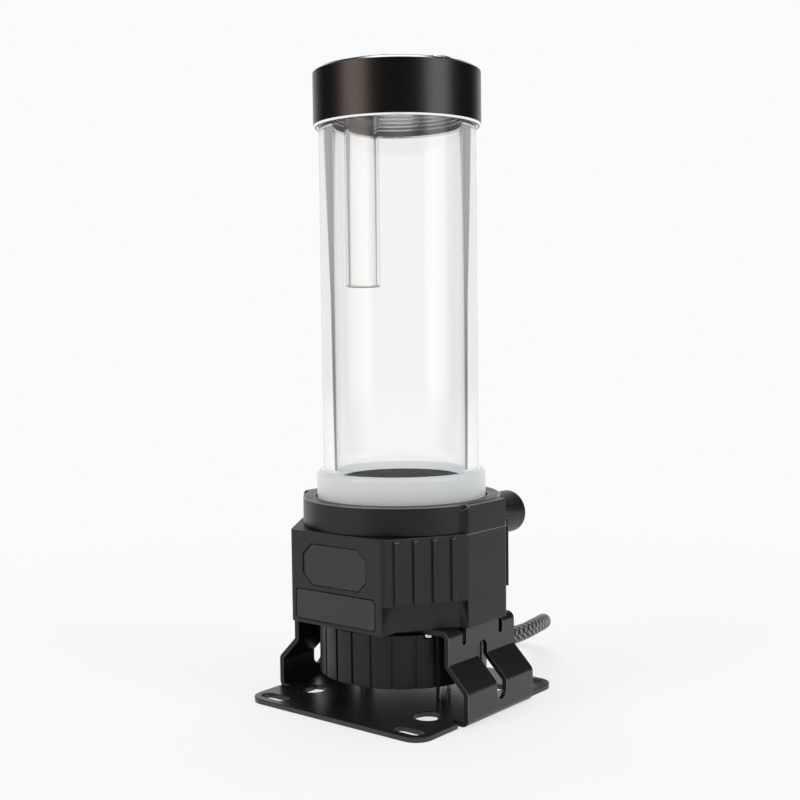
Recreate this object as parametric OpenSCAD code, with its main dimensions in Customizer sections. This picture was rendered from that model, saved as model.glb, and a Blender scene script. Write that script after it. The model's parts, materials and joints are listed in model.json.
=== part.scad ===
// Coolant pump with a clear tube reservoir on a bent steel mounting bracket.
// Origin: tube axis, on the underside of the bracket plate. +Z up, -Y is the badge side,
// +Y the port side. Pump body and bracket repeat after half a turn about Z.

/* [Bracket] */
// Sheet thickness of the bracket
sheet_t = 2; // [1.5:0.1:2.5]
// Half width of the base plate along X, away from the flanges
plate_half_x = 42.3; // [40:0.1:48]
// Half length of the base plate along Y
plate_half_y = 44; // [42:0.1:54]
// Corner radius of the base plate
plate_corner_r = 7; // [2:0.5:10]
// Outer face of a flange, from the tube axis
flange_x = 45.2; // [43:0.1:52]
// Outer face of a flange above its slope, from the tube axis
flange_top_x = 36.7; // [35:0.1:37.5]
// Height at which the flange starts to lean inwards
slope_z = 12.2; // [9:0.1:14]
// Near end of the right flange along Y
flange_y0 = -19.5; // [-22:0.1:-17]
// Far end of the right flange along Y
flange_y1 = 22.9; // [20:0.1:26]
// Inner radius of every bend
bend_r = 0.9; // [0.8:0.1:2.5]
// Width of the relief slits beside the centre tongue
slit_w = 2.4; // [0.8:0.1:3]
// Depth of the relief notches at the flange ends
notch_d = 3; // [1:0.5:5]
// Radius of the round plate holes
hole_r = 5.3; // [4:0.1:6]
// Half spacing of the round plate holes along X
hole_x = 28.5; // [26:0.1:31]
// Half spacing of the round plate holes along Y
hole_y = 21.5; // [18:0.1:26]
// Width of the fixing slots
slot_w = 5.5; // [3.5:0.1:6]
// End-to-end length of the fixing slots
slot_len = 12.7; // [8:0.1:14]
// Half spacing of the fixing slots along X
slot_x = 32.8; // [28:0.1:33.5]
// Half spacing of the fixing slots along Y
slot_y = 38.2; // [34:0.1:39]
// Width of the slot up each flange
flange_slot_w = 5.7; // [3:0.1:6]
// Height of the lower end of the slot up each flange
flange_slot_z0 = 5.6; // [4:0.1:8]
// Height of the upper end of the slot up each flange
flange_slot_z1 = 26.6; // [22:0.1:29]
// Corner radius of the two hexagonal standoffs under the motor
standoff_r = 2.8; // [2:0.1:3.5]

/* [Motor] */
// Outer radius of the ribbed motor housing
motor_r = 32.5; // [31.5:0.1:33]
// Height of the motor's underside above the bracket's underside
motor_z = 11.2; // [8:0.1:14]
// Number of grooves around the housing
groove_count = 25; // [12:1:36]
// Width of a housing groove
groove_w = 1.1; // [0.8:0.1:3]
// Depth of a housing groove
groove_d = 0.7; // [0.3:0.1:1.2]
// Inner radius of the separating can that the rotor turns in
can_r = 11.7; // [10:0.1:12.5]
// Wall of the separating can
can_wall = 0.8; // [0.5:0.1:1.2]
// Number of stator teeth and coils
tooth_count = 6; // [6:3:9]
// Height of the stator stack
stack_h = 18; // [12:1:22]

/* [Pump] */
// Radius of the fixed ceramic shaft
shaft_r = 1.5; // [1:0.1:2]
// Radial running gap between shaft and bushing
shaft_gap = 0.05; // [0.02:0.01:0.09]
// Outer radius of the impeller
impeller_r = 12.8; // [10:0.1:13.2]
// Number of impeller blades
blade_count = 6; // [4:1:8]
// Radial gap from the impeller to the start of the volute
volute_gap = 0.7; // [0.4:0.1:1]
// Growth of the volute radius up to its outlet
volute_growth = 6.5; // [5:0.1:7]
// Height of the pump chamber
chamber_h = 8; // [7:0.1:8.5]

/* [Body] */
// Half depth of the body cover, from the axis to the badge face
body_half_y = 39; // [38.5:0.1:42]
// Half width of the body cover, from the axis to a side block
body_half_x = 39; // [38.5:0.1:42]
// Height of the body cover's lower edge
body_z = 33.5; // [32:0.1:36]
// Height of the joint between body cover and pump top
joint_z = 68.3; // [66:0.1:70]
// Height at which the ribbed panels end above the recess
panel_z = 44; // [40:0.5:48]
// Distance of the flat in the recess from the axis
recess_flat = 34.8; // [34:0.1:37]
// Number of ribs on a front panel
rib_count = 4; // [2:1:4]
// Spacing of the ribs on a panel
rib_pitch = 7.4; // [5:0.1:7.5]
// Width of a rib
rib_w = 1.8; // [1:0.1:3]
// How far a rib stands out of its panel
rib_h = 1; // [0.4:0.1:1.5]
// Radius of the collar on the pump top
collar_r = 38.1; // [37:0.1:38.3]
// Height of the collar's top face
collar_z = 79; // [77:0.1:82]
// Outer radius of a coolant port
port_r = 8.5; // [7.5:0.1:9]
// Radius of the port bore, cut for a quarter-inch pipe thread
port_bore_r = 5.9; // [5.5:0.1:6.5]
// Depth of the threaded port bore
port_depth = 13; // [10:0.5:15]
// Distance of the port axes from the middle plane
port_x = 16; // [14:0.1:18]
// Height of the port axes
port_z = 67.3; // [66:0.1:69]
// Distance of the port mouths from the tube axis
port_y = 50; // [46:0.5:56]

/* [Reservoir] */
// Outer radius of the clear tube
tube_r = 30; // [29.5:0.1:30.3]
// Wall of the clear tube
tube_wall = 5; // [3:0.1:5.2]
// Length of the clear tube
tube_len = 153.7; // [90:0.1:260]
// Outer radius of the light diffuser ring
diffuser_r = 32.6; // [32:0.1:33]
// Height of the diffuser ring's top above the collar
diffuser_rise = 10; // [6:0.5:14]
// Height of the reservoir floor above the collar
floor_rise = 7; // [3:0.5:9]
// Number of light-emitting diodes under the ring
led_count = 12; // [6:1:24]

/* [Cap] */
// Outer radius of the cap ring
cap_r = 32; // [31.9:0.1:34]
// Height of the cap ring
cap_h = 21; // [17:0.1:26]
// Chamfer on the cap ring's edges
cap_chamfer = 0.8; // [0.3:0.1:1.2]
// Length of thread that holds the cap on the tube
thread_len = 11.8; // [8:0.1:12]
// Radial gap between tube and cap ring
cap_gap = 0.15; // [0.1:0.05:0.3]
// Radius of the lid where it shows
lid_r = 28; // [27:0.1:28.5]
// How far the lid stands above the cap ring
lid_rise = 1; // [0.4:0.1:2]
// Outer radius of the inner pipe
pipe_r = 6.65; // [6.2:0.05:7.2]
// Wall of the inner pipe
pipe_wall = 1.65; // [1:0.05:2]
// Length of the inner pipe below the lid
pipe_len = 73.3; // [20:0.1:120]
// Distance of the inner pipe from the middle plane along X
pipe_x = 10.7; // [9:0.1:13]
// Distance of the inner pipe from the middle plane along Y
pipe_y = 8.7; // [8:0.1:11]

/* [Cable] */
// Diameter of the braided cable
cable_d = 6.5; // [4:0.1:7]

/* [Hidden] */
$fn = 96;
eps = 0.01;
fit = 0.15;              // gap between pieces that are pushed together by hand
screw_gap = 0.1;         // radial gap round a screw shank
screw_r = 1.4;           // M3 shank, drawn without its thread
screw_head_r = 2.6;
screw_head_h = 1.8;
tab_screw_r = 1;         // M2 screws that hold the bracket's tabs to the body
tab_screw_len = 8;
tab_head_r = 1.9;
tab_head_h = 1.2;

// Bracket details
tongue_rise = 3.5;       // of the centre tongue, into its slot in the body
flange_slot_y = (flange_y0 + flange_y1) / 2 + 0.2;
standoff_at = [21.5, -2.7];
standoff_turn = -21;

// Motor levels
housing_wall_z = 2.5;
upper_housing_r = motor_r - 3;            // above the bracket's tabs
cavity_r = upper_housing_r + 0.3;
tab_z = body_z - sheet_t;                 // underside of the bracket's tabs
housing_step_z = tab_z - 0.3;
board_z = motor_z + 6.8;
board_t = 1.6;
board_r = upper_housing_r - 4.2;
stack_z = board_z + 14;
stack_r = upper_housing_r - 3.5;
can_flange_t = 3;
chamber_z = joint_z - 6.3;                // underside of the pump top's spigot
can_top = chamber_z;
housing_top = can_top - can_flange_t;
can_floor_z = board_z + 6;
can_floor_t = 2.2;
spigot_r = upper_housing_r;
seal_groove_r = 24.5;
seal_section = 1.4;

// Impeller levels
washer_t = 0.7;
washer_z = can_floor_z + can_floor_t;
rotor_z = washer_z + washer_t + 0.1;
disc_z = chamber_z + 0.5;
disc_t = 1.5;
blade_h = chamber_h - 3;
hub_r = 5;
bushing_r = shaft_r + 1.6;
magnet_r = can_r - 0.5;
magnet_h = can_top - rotor_z - 7;

// Volute
volute_r = impeller_r + volute_gap;
outlet_r = 3.6;
outlet_z = chamber_z + chamber_h - outlet_r - 0.2;
inlet_r = 3.2;
eye_r = 8;
inlet_at = [-port_x + 0.5, 12.8];

// Reservoir levels
tube_in_r = tube_r - tube_wall;
seat_z = collar_z - 1.7;                  // where tube and diffuser ring stand
recess_r = diffuser_r + 0.7;
floor_z = collar_z + floor_rise;
floor_r = tube_in_r - 0.25;
diffuser_top = collar_z + diffuser_rise;
tube_top = seat_z + tube_len;
led_in_r = tube_r + 0.9;
led_out_r = diffuser_r - 0.5;
led_z = seat_z - 2.1;
face_seal_r = (tube_r + tube_in_r) / 2;

// Cap levels
seal_t = 1;
cap_z = tube_top - thread_len;
cap_top = cap_z + cap_h;
lid_z = tube_top + seal_t;
lid_flange_t = 3;
lid_top = cap_top + lid_rise;
pipe_socket = 2;
plug_r = 6.4;
plug_seal_t = 1.2;
plug_at = [pipe_x, pipe_y];
plug_z = lid_top + plug_seal_t;

// Body outline, one half; the other half is the same after half a turn
side_y0 = -9.9;
side_y1 = 14.1;
front_x0 = -22.2;
front_x1 = 22.2;
body_half = [[front_x0, -body_half_y], [front_x1, -body_half_y],
             [body_half_x, side_y0], [body_half_x, side_y1]];
body_edge_r = 2;
rib_start = 4.5;
back_rib_count = 3;
rib_top = joint_z - 0.3;
panel_dir = unit([body_half_x - front_x1, side_y0 + body_half_y]);
recess_normal = unit([0.829, -0.559]);

// Plates on the badge face
plate_gap = 0.3;
badge_at = [-0.8, 56];
badge_size = [30.4, 15.1];
badge_clip = 4;
label_at = [-0.75, 40.7];
label_size = [38.3, 11];
plate_sink = 0.9;
badge_t = 0.5;           // thinner than its pocket, so the badge lies a little deep
label_t = 0.75;

body_screws_at = [[-10, -33.6], [10, -33.6], [0, 35]];
tab_screws_at = [[26.6, -17.8], [28.9, 18.2]];

// Cable: leaves the motor towards +Y, sinks to the floor and joins the coil
gland_at = [25, 17, 18.5];
gland_len = 10;
gland_r = 4.6;
cable_route = [[25, 27, 18.5], [25, 33, 18.5], [25.3, 40.3, 18.6], [25.3, 48, 18.8],
               [23.9, 57, 18.8], [21.2, 66, 18], [17, 74.6, 16.4], [11.5, 82, 13.8],
               [4.8, 87.2, 10.2], [-3, 89, 6.2], [-10.7, 87.6, 3.7], [-17, 83, 3.25],
               [-20.9, 76.3, 3.25], [-24.3, 69.3, 3.25], [-29, 62.8, 3.25], [-34.7, 56.9, 3.25],
               [-40.6, 51.7, 3.25]];
tail_route = [[-49, 61.7, 3.25], [-55.6, 58.6, 3.25], [-62.8, 59.2, 3.4], [-68.7, 63.4, 3.7],
              [-71.8, 70, 4], [-72, 76, 4], [-72, 79, 4]];
coil_at = [-66, 82];
coil_mid_r = 33;
coil_turns = 2;
connector_y = 79;
connector_size = [14, 20, 8];
tie_w = 5;
tie_t = 0.6;

function unit(v) = v / norm(v);
function heading(a, b) = atan2(b.y - a.y, b.x - a.x);
function wrap(a) = a > 180 ? a - 360 : a < -180 ? a + 360 : a;
function left(a) = [-sin(a), cos(a)];

// One edge of a bent strip: the path p, its corners rounded to radius r, moved h to the left
function strip_side(p, r, h, n = 6) = concat(
    [p[0] + h * left(heading(p[0], p[1]))],
    [for (i = [1 : len(p) - 2])
        let (a = heading(p[i - 1], p[i]), turn = wrap(heading(p[i], p[i + 1]) - a), s = sign(turn),
             c = p[i] - r * tan(abs(turn) / 2) * [cos(a), sin(a)] + s * r * left(a))
        for (k = [0 : n]) c + (h - s * r) * left(a + turn * k / n)],
    [p[len(p) - 1] + h * left(heading(p[len(p) - 2], p[len(p) - 1]))]);

function reversed(p) = [for (i = [len(p) - 1 : -1 : 0]) p[i]];

// A closed outline with each corner rounded to its own radius
function rounded(p, r, n = 6) = [for (i = [0 : len(p) - 1])
    let (before = p[(i + len(p) - 1) % len(p)], after = p[(i + 1) % len(p)], ri = is_list(r) ? r[i] : r,
         a = heading(before, p[i]), turn = wrap(heading(p[i], after) - a), s = sign(turn),
         c = p[i] - ri * tan(abs(turn) / 2) * [cos(a), sin(a)] + s * ri * left(a))
    for (k = [0 : n]) c - s * ri * left(a + turn * k / n)];

function half_turned(p) = [for (q = p) -q];

module strip(p, r, t, n = 6) {
    polygon(concat(strip_side(p, r, t / 2, n), reversed(strip_side(p, r, -t / 2, n))));
}

// Runs its children as they are and turned by half a turn about Z
module both_sides() {
    children();
    rotate([0, 0, 180]) children();
}

module ring(r_out, r_in, h) {
    difference() {
        cylinder(r = r_out, h = h);
        translate([0, 0, -1]) cylinder(r = r_in, h = h + 2);
    }
}

// Flat slot with round ends, long along X
module slot_outline(len, w) {
    square([len - w, w], center = true);
    for (s = [-1, 1]) translate([s * (len - w) / 2, 0]) circle(d = w);
}

// Puts an outline drawn in X and Z upright, and extrudes it from y0 to y1
module upright(y0, y1) {
    translate([0, y1, 0]) rotate([90, 0, 0]) linear_extrude(y1 - y0) children();
}

// ---- bracket ----

module flange() {
    mid = sheet_t / 2;
    lean = flange_x - flange_top_x;
    path = [[flange_x - 14, mid], [flange_x - mid, mid], [flange_x - mid, slope_z],
            [flange_top_x - mid, slope_z + lean], [flange_top_x - mid, tab_z + mid],
            [motor_r - 12, tab_z + mid]];
    slit_y = [side_y0 + 0.2, side_y1 - 0.5];
    slit_z = tab_z - 4.5 + slit_w / 2;
    tongue_y = slit_y + [slit_w, -slit_w] / 2;
    difference() {
        union() {
            difference() {
                upright(flange_y0, flange_y1) strip(path, bend_r + mid, sheet_t);
                translate([0, slit_y[0] - slit_w / 2, slit_z])
                    cube([flange_x, slit_y[1] - slit_y[0] + slit_w, 20]);
                for (y = slit_y) translate([20, y, slit_z]) rotate([0, 90, 0])
                    cylinder(d = slit_w, h = 20);
            }
            translate([flange_top_x - sheet_t, tongue_y[0], slit_z - slit_w])
                cube([sheet_t, tongue_y[1] - tongue_y[0], body_z + tongue_rise - slit_z + slit_w]);
        }
        translate([0, 0, tab_z - 1]) cylinder(r = cavity_r, h = sheet_t + 2);
        translate([flange_x + 1, flange_slot_y, (flange_slot_z0 + flange_slot_z1) / 2])
            rotate([0, 90, 180]) linear_extrude(flange_x - flange_top_x + sheet_t + 3)
                slot_outline(flange_slot_z1 - flange_slot_z0, flange_slot_w);
        for (p = tab_screws_at) translate([p.x, p.y, tab_z - 1])
            cylinder(r = tab_screw_r + screw_gap, h = sheet_t + 2);
    }
}

module base_plate() {
    x = plate_half_x;
    y = plate_half_y;
    difference() {
        linear_extrude(sheet_t)
            polygon(rounded([[-x, -y], [x, -y], [x, y], [-x, y]], plate_corner_r));
        for (sx = [-1, 1], sy = [-1, 1]) {
            translate([sx * hole_x, sy * hole_y, -1]) cylinder(r = hole_r, h = sheet_t + 2);
            translate([sx * slot_x, sy * slot_y, -1])
                linear_extrude(sheet_t + 2) slot_outline(slot_len, slot_w);
        }
        both_sides() for (ends = [[flange_y0 - 2.2, flange_y0], [flange_y1, flange_y1 + 2.2]])
            translate([x - notch_d, ends[0], -1]) cube([notch_d + 1, ends[1] - ends[0], sheet_t + 2]);
    }
}

module mount_bracket() color([0.10, 0.10, 0.11]) {
    base_plate();
    both_sides() flange();
}

// Hexagon-socket screw, head down, the underside of its head at height zero
module screw(r, length, head_r, head_h) {
    translate([0, 0, -head_h]) difference() {
        cylinder(r = head_r, h = head_h);
        translate([0, 0, -1]) cylinder(r = head_r * 0.46, h = 1 + head_h * 0.55, $fn = 6);
    }
    cylinder(r = r, h = length);
}

module bracket_screws() color([0.75, 0.75, 0.77]) both_sides()
    for (p = tab_screws_at) translate([p.x, p.y, tab_z])
        screw(tab_screw_r, tab_screw_len, tab_head_r, tab_head_h);

module bottom_standoffs() color([0.80, 0.78, 0.74]) both_sides()
    translate([standoff_at.x, standoff_at.y, sheet_t]) rotate([0, 0, standoff_turn])
        cylinder(r = standoff_r, h = motor_z - sheet_t, $fn = 6);

// ---- motor ----

module motor_housing() color([0.13, 0.13, 0.14]) difference() {
    union() {
        translate([0, 0, motor_z]) cylinder(r = motor_r, h = housing_step_z - motor_z);
        translate([0, 0, motor_z]) cylinder(r = upper_housing_r, h = housing_top - motor_z);
    }
    translate([0, 0, motor_z + housing_wall_z]) cylinder(r = board_r + 0.5, h = 100);
    translate([0, 0, stack_z]) cylinder(r = stack_r + 0.1, h = 100);
    for (i = [0 : groove_count - 1]) rotate([0, 0, (i + 0.5) * 360 / groove_count - 7.6])
        translate([motor_r - groove_d, -groove_w / 2, motor_z - 1]) cube([5, groove_w, 40]);
    both_sides() for (p = tab_screws_at) translate([p.x, p.y, tab_z - tab_head_h - 0.6])
        cylinder(r = tab_head_r + 0.4, h = tab_head_h + 1);
    translate(gland_at - [0, 6, 0]) rotate([-90, 0, 0]) cylinder(r = gland_r + 0.05, h = 30);
}

module driver_board() color([0.05, 0.30, 0.15]) {
    translate([0, 0, board_z]) difference() {
        cylinder(r = board_r, h = board_t);
        translate([0, 0, -1]) cylinder(r = 3, h = board_t + 2);
        translate([18, 0, -1]) cube([20, 30, board_t + 2]);
    }
    for (a = [0 : 60 : 300]) rotate([0, 0, a]) translate([-17, -2.5, board_z + board_t])
        cube([5, 5, 2]);
    for (a = [45 : 90 : 315]) rotate([0, 0, a]) translate([20, 0, motor_z + housing_wall_z])
        cylinder(r = 2, h = board_z - motor_z - housing_wall_z);
}

module stator_core() color([0.45, 0.46, 0.48]) translate([0, 0, stack_z]) {
    pole_in = can_r + can_wall + 0.4;
    difference() {
        union() {
            ring(stack_r, stack_r - 3.5, stack_h);
            for (i = [0 : tooth_count - 1]) rotate([0, 0, i * 360 / tooth_count])
                translate([pole_in - 0.5, -2.2, 0]) cube([stack_r - 2 - pole_in, 4.4, stack_h]);
            ring(pole_in + 1.8, pole_in, stack_h);
        }
        translate([0, 0, -1]) cylinder(r = pole_in, h = stack_h + 2);
        for (i = [0 : tooth_count - 1]) rotate([0, 0, (i + 0.5) * 360 / tooth_count])
            translate([pole_in - 1, -0.8, -1]) cube([4, 1.6, stack_h + 2]);
    }
}

module stator_coils() color([0.72, 0.38, 0.18]) translate([0, 0, stack_z])
    for (i = [0 : tooth_count - 1]) rotate([0, 0, i * 360 / tooth_count])
        translate([can_r + can_wall + 2.7, 0, 0]) difference() {
            translate([0, -4.3, -1.8]) cube([6.6, 8.6, stack_h + 3.6]);
            translate([-1, -2.3, -0.1]) cube([9, 4.6, stack_h + 0.2]);
        }

module rotor_can() color([0.20, 0.20, 0.21]) difference() {
    union() {
        translate([0, 0, can_top - can_flange_t]) cylinder(r = spigot_r, h = can_flange_t);
        translate([0, 0, can_floor_z]) cylinder(r = can_r + can_wall, h = can_top - can_floor_z);
    }
    translate([0, 0, can_floor_z + 1]) difference() {
        cylinder(r = can_r, h = 100);
        translate([0, 0, -1]) cylinder(r = shaft_r + 2.5, h = can_floor_t);
    }
    translate([0, 0, can_floor_z + 0.8]) cylinder(r = shaft_r, h = 10);
    translate([0, 0, can_top - seal_section]) ring(seal_groove_r + seal_section, seal_groove_r, 5);
}

module rotor_shaft() color([0.90, 0.90, 0.88])
    translate([0, 0, can_floor_z + 0.8]) cylinder(r = shaft_r, h = disc_z + 4 - can_floor_z);

module thrust_washer() color([0.85, 0.84, 0.80])
    translate([0, 0, washer_z]) ring(shaft_r + 2, shaft_r + shaft_gap, washer_t);

// ---- impeller ----

// One blade: a thin strip that curls back from the eye to the rim
module blade_outline() {
    start = [hub_r - 0.6, 0];
    steps = 8;
    sweep = 55;
    mid_line = [for (i = [0 : steps]) let (t = i / steps, r = start.x + (impeller_r - 0.5 - start.x) * t)
        r * [cos(-sweep * t), sin(-sweep * t)]];
    strip(mid_line, 3, 1.1, 1);
}

module impeller() color([0.92, 0.92, 0.90]) difference() {
    union() {
        translate([0, 0, rotor_z]) cylinder(r = hub_r, h = disc_z - rotor_z + 1);
        translate([0, 0, disc_z]) cylinder(r = impeller_r, h = disc_t);
        translate([0, 0, disc_z + disc_t - eps]) {
            cylinder(r1 = hub_r, r2 = bushing_r + 0.6, h = blade_h - 0.8);
            linear_extrude(blade_h) for (i = [0 : blade_count - 1])
                rotate([0, 0, i * 360 / blade_count]) blade_outline();
        }
    }
    translate([0, 0, rotor_z - 1]) cylinder(r = bushing_r, h = 100);
}

module impeller_bushing() color([0.35, 0.35, 0.37])
    translate([0, 0, rotor_z]) ring(bushing_r, shaft_r + shaft_gap, disc_z + disc_t + 3 - rotor_z);

module rotor_magnet() color([0.25, 0.25, 0.26])
    translate([0, 0, rotor_z]) ring(magnet_r, hub_r, magnet_h);

// ---- body ----

module plate_outline(size, clip, grow) {
    x = size.x / 2 + grow;
    y = size.y / 2 + grow;
    c = clip + grow * 0.6;
    polygon([[-x + c, -y], [x - c, -y], [x, -y + c], [x, y - c], [x - c, y], [-x + c, y],
             [-x, y - c], [-x, -y + c]]);
}

// A flat plate let into the badge face, from depth y to the face
module face_plate(at, size, clip, grow, depth) {
    translate([at.x, -body_half_y + plate_sink, at.y]) rotate([90, 0, 0])
        linear_extrude(depth) plate_outline(size, clip, grow);
}

module body_outline() {
    radii = [body_edge_r, 3, body_edge_r, body_edge_r];
    polygon(rounded(concat(body_half, half_turned(body_half)), concat(radii, radii)));
}

// Ribs on the diagonal panel that runs from p along dir; their tops slope outwards
module panel_ribs(p, dir, count) {
    out = [dir.y, -dir.x];
    for (i = [0 : count - 1]) {
        foot = p + dir * (rib_start + i * rib_pitch + rib_w);
        translate([foot.x, foot.y, 0]) rotate([90, 0, atan2(out.y, out.x)]) linear_extrude(rib_w)
            polygon([[-1, panel_z + 0.2], [rib_h, panel_z + 0.2], [rib_h, rib_top - rib_h],
                     [0, rib_top], [-1, rib_top]]);
    }
}

// Space below a ribbed panel: everything outside the flat, between the two blocks
module panel_recess() {
    n = recess_normal;
    along = [-n.y, n.x];
    far = 30;
    translate([0, 0, body_z - 1]) linear_extrude(panel_z - body_z + 1) intersection() {
        polygon([n * recess_flat - along * far, n * recess_flat + along * far,
                 n * (recess_flat + 30) + along * far, n * (recess_flat + 30) - along * far]);
        polygon([[front_x1 - 0.4, -60], [70, -60], [70, side_y0 - 0.3], [35, side_y0 - 0.3],
                 [front_x1 - 0.4, -30]]);
    }
}

module port_shapes(r, y0, y1) {
    for (s = [-1, 1]) translate([s * port_x, y0, port_z]) rotate([-90, 0, 0])
        cylinder(r = r, h = y1 - y0);
}

module body_cover() color([0.15, 0.15, 0.16]) {
    other_p = [body_half_x, side_y1];
    other_dir = unit([-front_x0 - body_half_x, body_half_y - side_y1]);
    difference() {
        union() {
            translate([0, 0, body_z]) linear_extrude(joint_z - body_z) body_outline();
            both_sides() {
                panel_ribs([front_x1, -body_half_y], panel_dir, rib_count);
                panel_ribs(other_p, other_dir, back_rib_count);
            }
        }
        translate([0, 0, body_z - 1]) cylinder(r = cavity_r, h = 100);
        both_sides() {
            panel_recess();
            translate([flange_top_x - sheet_t - 0.2, side_y0 - 0.2, body_z - 1])
                cube([sheet_t + 0.4, side_y1 - side_y0 - 0.5, 5]);
            for (p = tab_screws_at) translate([p.x, p.y, body_z - 1])
                cylinder(r = tab_screw_r + screw_gap, h = 10);
        }
        for (p = body_screws_at) translate([p.x, p.y, body_z - 1]) {
            cylinder(r = screw_r + screw_gap, h = 100);
            cylinder(r = screw_head_r + 0.3, h = 1 + 1 + screw_head_h);
        }
        face_plate(badge_at, badge_size, badge_clip, plate_gap, 5);
        face_plate(label_at, label_size, 0.8, plate_gap, 5);
        port_shapes(port_r + 0.3, 20, 60);
    }
}

module badge_plate() color([0.16, 0.16, 0.17])
    face_plate(badge_at, badge_size, badge_clip, 0, badge_t);

module label_plate() color([0.19, 0.19, 0.20])
    face_plate(label_at, label_size, 0.8, 0, label_t);

module body_screws() color([0.60, 0.60, 0.62]) for (p = body_screws_at)
    translate([p.x, p.y, body_z + 1 + screw_head_h])
        screw(screw_r, joint_z - body_z + 3, screw_head_r, screw_head_h);

// ---- pump top ----

// Outline of the volute: its radius grows over most of a turn, up to the outlet at angle 360
function volute_points(steps = 40, first = 50) = [for (i = [0 : steps])
    let (t = i / steps, a = first + (360 - first) * t)
    (volute_r + volute_growth * pow(t, 1.5)) * [cos(a), sin(a)]];

module side_block() intersection() {
    translate([0, 0, joint_z]) linear_extrude(collar_z - joint_z) polygon([
        [30, side_y0 - 1.35], [body_half_x - 2.6, side_y0 - 1.35], [body_half_x, side_y0],
        [body_half_x, side_y1], [body_half_x - 2.6, side_y1 + 1.35], [30, side_y1 + 1.35]]);
    translate([30, 0, 0]) rotate([90, 0, 90]) linear_extrude(20) {
        y0 = side_y0 - 1.35;
        y1 = side_y1 + 1.35;
        c = 2.3;
        top = collar_z - 0.2;
        polygon([[y0, joint_z], [y1, joint_z], [y1, top - c], [y1 - c, top], [y0 + c, top],
                 [y0, top - c]]);
    }
}

module pump_top() color([0.17, 0.17, 0.18]) difference() {
    union() {
        translate([0, 0, joint_z]) cylinder(r = collar_r, h = collar_z - joint_z);
        translate([0, 0, chamber_z]) cylinder(r = spigot_r, h = joint_z - chamber_z + 1);
        both_sides() side_block();
        port_shapes(port_r, 20, port_y);
        translate([0, 0, collar_z - 3]) cylinder(r = floor_r, h = floor_rise + 3);
    }
    // seat of the tube and the diffuser ring, light channel and tube seal
    translate([0, 0, seat_z]) ring(recess_r, floor_r, 10);
    translate([0, 0, led_z]) ring(led_out_r, led_in_r, 10);
    translate([0, 0, seat_z - 1.6]) ring(face_seal_r + 1, face_seal_r - 1, 10);
    // reservoir floor, which falls towards the eye of the pump
    translate([0, 0, floor_z - 1.5]) cylinder(r1 = eye_r, r2 = floor_r - 2, h = 1.5 + eps);
    translate([0, 0, chamber_z]) cylinder(r = eye_r, h = 100);
    // room for the motor housing and the can below the port bosses
    cylinder(r = cavity_r, h = chamber_z);
    // pump chamber, its outlet and the return into the reservoir
    translate([0, 0, chamber_z - 1]) linear_extrude(chamber_h + 1) {
        polygon(volute_points());
        circle(r = volute_r);
    }
    translate([port_x, 0, outlet_z]) rotate([-90, 0, 0]) cylinder(r = outlet_r, h = port_y);
    translate([-port_x, inlet_at.y, port_z]) rotate([-90, 0, 0])
        cylinder(r = outlet_r, h = port_y - inlet_at.y);
    translate([inlet_at.x, inlet_at.y, port_z]) cylinder(r = inlet_r, h = 50);
    port_shapes(port_bore_r, port_y - port_depth, port_y + 1);
    for (p = body_screws_at) translate([p.x, p.y, chamber_z - 5])
        cylinder(r = screw_r + screw_gap, h = joint_z - chamber_z + 5 + 6);
}

module volute_seal() color([0.08, 0.08, 0.08]) translate([0, 0, can_top - seal_section / 2])
    rotate_extrude() translate([seal_groove_r + seal_section / 2, 0])
        circle(d = seal_section - 0.05, $fn = 24);

module led_board() color([0.90, 0.90, 0.88]) {
    r = (led_in_r + led_out_r) / 2;
    translate([0, 0, led_z]) ring(led_out_r - 0.05, led_in_r + 0.05, 0.8);
    for (i = [0 : led_count - 1]) rotate([0, 0, i * 360 / led_count])
        translate([r - 0.5, -1.2, led_z + 0.8]) cube([1, 2.4, 0.8]);
}

module diffuser_ring() color([0.95, 0.95, 0.95, 0.9]) rotate_extrude() {
    r_in = tube_r + fit;
    round_r = 2;
    polygon(concat(
        [[r_in, seat_z], [diffuser_r, seat_z]],
        [for (a = [0 : 15 : 90]) [diffuser_r - round_r + round_r * cos(a),
                                  diffuser_top - round_r + round_r * sin(a)]],
        [[r_in, diffuser_top]]));
}

module lower_seal() color([0.08, 0.08, 0.08]) translate([0, 0, seat_z - 0.8])
    rotate_extrude() translate([face_seal_r, 0]) circle(d = 1.6, $fn = 24);

// ---- reservoir and cap ----

module reservoir_tube() color([0.85, 0.90, 0.92, 0.35])
    translate([0, 0, seat_z]) ring(tube_r, tube_in_r, tube_len);

module upper_seal() color([0.08, 0.08, 0.08])
    translate([0, 0, tube_top]) ring(face_seal_r + 1.5, face_seal_r - 1.5, seal_t);

module cap_ring() color([0.08, 0.08, 0.08]) rotate_extrude() {
    r_in = tube_r + cap_gap;
    c = cap_chamfer;
    shoulder = lid_z + lid_flange_t;
    polygon([[r_in, cap_z], [cap_r - c, cap_z], [cap_r, cap_z + c], [cap_r, cap_top - c],
             [cap_r - c, cap_top], [lid_r + 0.1, cap_top], [lid_r + 0.1, shoulder], [r_in, shoulder]]);
}

module lid_disc() color([0.85, 0.90, 0.92, 0.45]) difference() {
    union() {
        translate([0, 0, lid_z]) cylinder(r = tube_r, h = lid_flange_t);
        translate([0, 0, lid_z]) cylinder(r = lid_r, h = lid_top - lid_z - 0.5);
        translate([0, 0, lid_top - 0.5]) cylinder(r1 = lid_r, r2 = lid_r - 0.5, h = 0.5);
    }
    translate([-pipe_x, -pipe_y, lid_z - 1]) {
        cylinder(r = pipe_r + fit / 2, h = pipe_socket + 1);
        cylinder(r = port_bore_r, h = 30);
    }
    translate([plug_at.x, plug_at.y, lid_z - 1]) cylinder(r = plug_r + 0.1, h = 30);
}

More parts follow.
